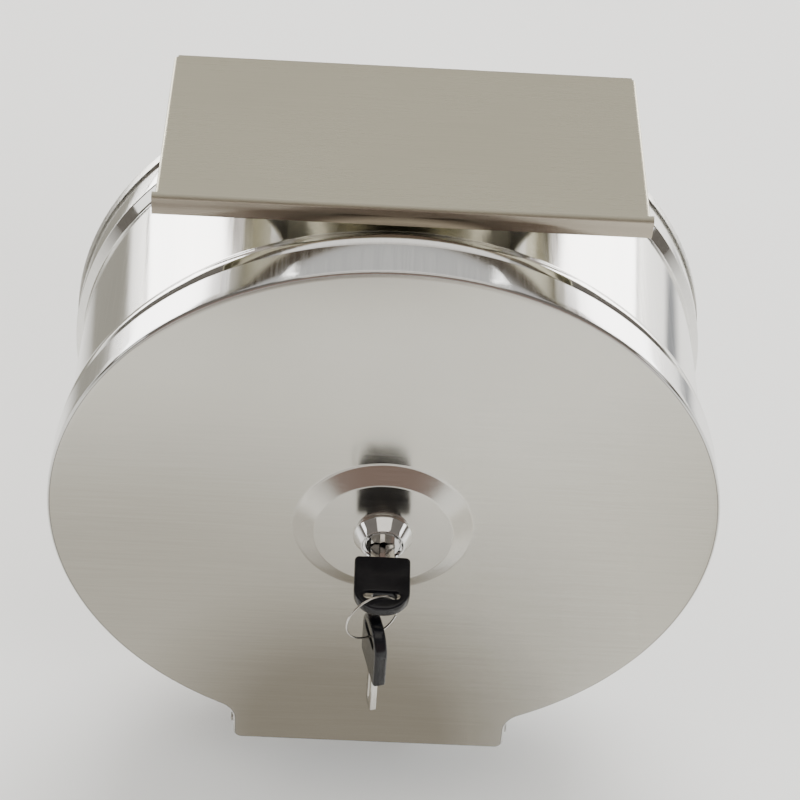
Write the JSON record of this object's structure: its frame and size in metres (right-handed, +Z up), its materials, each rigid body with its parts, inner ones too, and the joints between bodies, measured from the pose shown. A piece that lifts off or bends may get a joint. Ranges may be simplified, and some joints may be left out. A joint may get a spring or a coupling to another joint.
{
  "type": "jumbo roll tissue dispenser",
  "caption": "Wall-mounted round steel dispenser for a jumbo roll: drum housing with shelf, drop-down locking front cover, paper outlet and keys on a ring.",
  "frame": {"origin": "centre of the back pan's wall face, on the drum's axis", "axes": "+Z up, +Y into the wall along the drum's axis, the cover faces -Y, +X to the right seen from the front"},
  "size_m": [0.276, 0.1709, 0.2897],
  "materials": {
    "brushed_stainless": "fine brushed, bright",
    "satin_stainless": "satin",
    "zinc_steel": "plated, semi-bright",
    "chrome": "bright plated",
    "nickel": "nickel plated",
    "black_plastic": "moulded, semi-gloss",
    "hub_plastic": "moulded, fine texture"
  },
  "bodies": {
    "housing": {"back_pan": "satin_stainless", "drum_wall": "brushed_stainless", "outlet_cheek_left": "satin_stainless", "outlet_cheek_right": "satin_stainless", "rear_skirt": "satin_stainless", "tear_blade_left": "zinc_steel", "tear_blade_right": "zinc_steel", "blade_rivets": "zinc_steel", "shelf": "brushed_stainless", "shelf_bracket_left": "satin_stainless", "shelf_bracket_right": "satin_stainless", "spindle_plate": "satin_stainless", "spindle_rivets": "zinc_steel", "spindle_tube": "satin_stainless", "catch_plate": "zinc_steel", "hub_retainer": "hub_plastic", "hinge_pin_left": "zinc_steel", "hinge_pin_right": "zinc_steel", "hinge_bush_left": "hub_plastic", "hinge_bush_right": "hub_plastic"},
    "cover": {"front_cover": "brushed_stainless", "lock_body": "chrome", "lock_washer": "zinc_steel", "lock_nut": "zinc_steel"},
    "plug": {"lock_plug": "chrome", "lock_cam": "zinc_steel", "cam_screw": "zinc_steel"},
    "key": {"key_blade": "nickel", "key_head": "black_plastic"},
    "ring": {"key_ring": "nickel"},
    "spare": {"spare_key_blade": "nickel", "spare_key_head": "black_plastic"},
    "hub": {"core_hub": "hub_plastic"}
  },
  "joints": [
    {"name": "cover_hinge", "type": "hinge", "parent": "housing", "child": "cover", "pos_m": [0, -0.1105, -0.1375], "axis": [1, 0, 0], "range_deg": [0, 90]},
    {"name": "hub_spin", "type": "hinge", "parent": "housing", "child": "hub", "pos_m": [0, -0.05, 0], "axis": [0, 1, 0], "continuous": true},
    {"name": "plug_turn", "type": "hinge", "parent": "cover", "child": "plug", "pos_m": [0, -0.116, 0], "axis": [0, 1, 0], "range_deg": [0, 90]},
    {"name": "key_pull", "type": "slide", "parent": "plug", "child": "key", "axis": [0, -1, 0], "range_m": [0, 0.026]},
    {"name": "ring_swing", "type": "hinge", "parent": "key", "child": "ring", "pos_m": [-0.0034, -0.161, -0.0069], "axis": [-0.4695, 0.8829, 0], "range_deg": [-35, 35]},
    {"name": "spare_swing", "type": "hinge", "parent": "ring", "child": "spare", "pos_m": [-0.00146, -0.15997, -0.01809], "axis": [-0.8829, -0.4695, 0], "range_deg": [-30, 30]}
  ]
}
